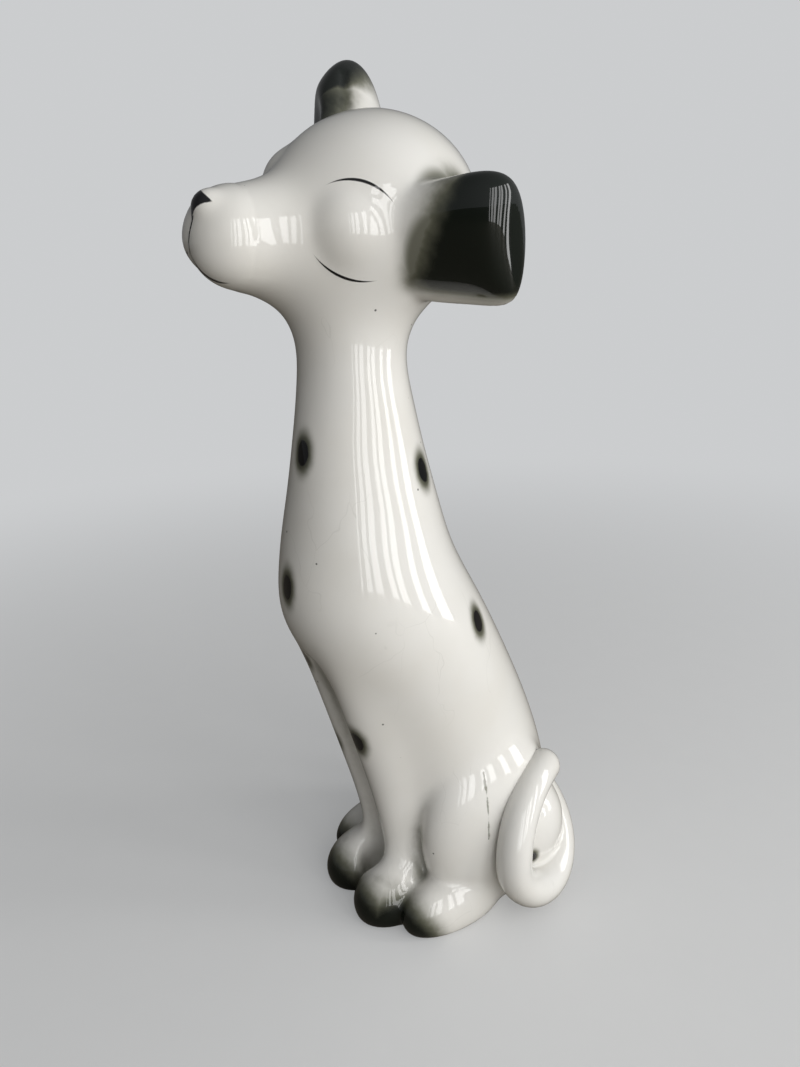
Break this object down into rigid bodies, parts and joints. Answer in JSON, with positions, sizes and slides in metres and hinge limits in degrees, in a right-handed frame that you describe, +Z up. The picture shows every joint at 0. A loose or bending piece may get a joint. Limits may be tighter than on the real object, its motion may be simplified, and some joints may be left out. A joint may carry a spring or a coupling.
{
  "type": "seated dog figurine",
  "caption": "Seated long-necked dog figurine in glossy off-white glazed ceramic with painted black spots, dark ears held out sideways and a tail curled on the left haunch; flat base.",
  "frame": {"origin": "on the flat base, in the body's middle plane, between the paws and the rump", "axes": "+Z up, -Y the way the figure faces, +X to the figure's own left"},
  "size_m": [0.1014, 0.1298, 0.2992],
  "materials": {
    "glazed_body": "clear high-gloss glaze over off-white earthenware, with airbrushed olive shading and black underglaze spots",
    "ear_glaze": "clear high-gloss glaze over airbrushed green-black underglaze that fades to off-white at the root",
    "slip_joint": "smoothed luting slip under the same clear glaze"
  },
  "bodies": {
    "root": {"body_casting": "glazed_body", "left_ear": "ear_glaze", "right_ear": "ear_glaze", "tail": "glazed_body", "left_ear_slip": "slip_joint", "right_ear_slip": "slip_joint", "tail_root_slip": "slip_joint", "tail_haunch_slip": "slip_joint"}
  },
  "joints": []
}
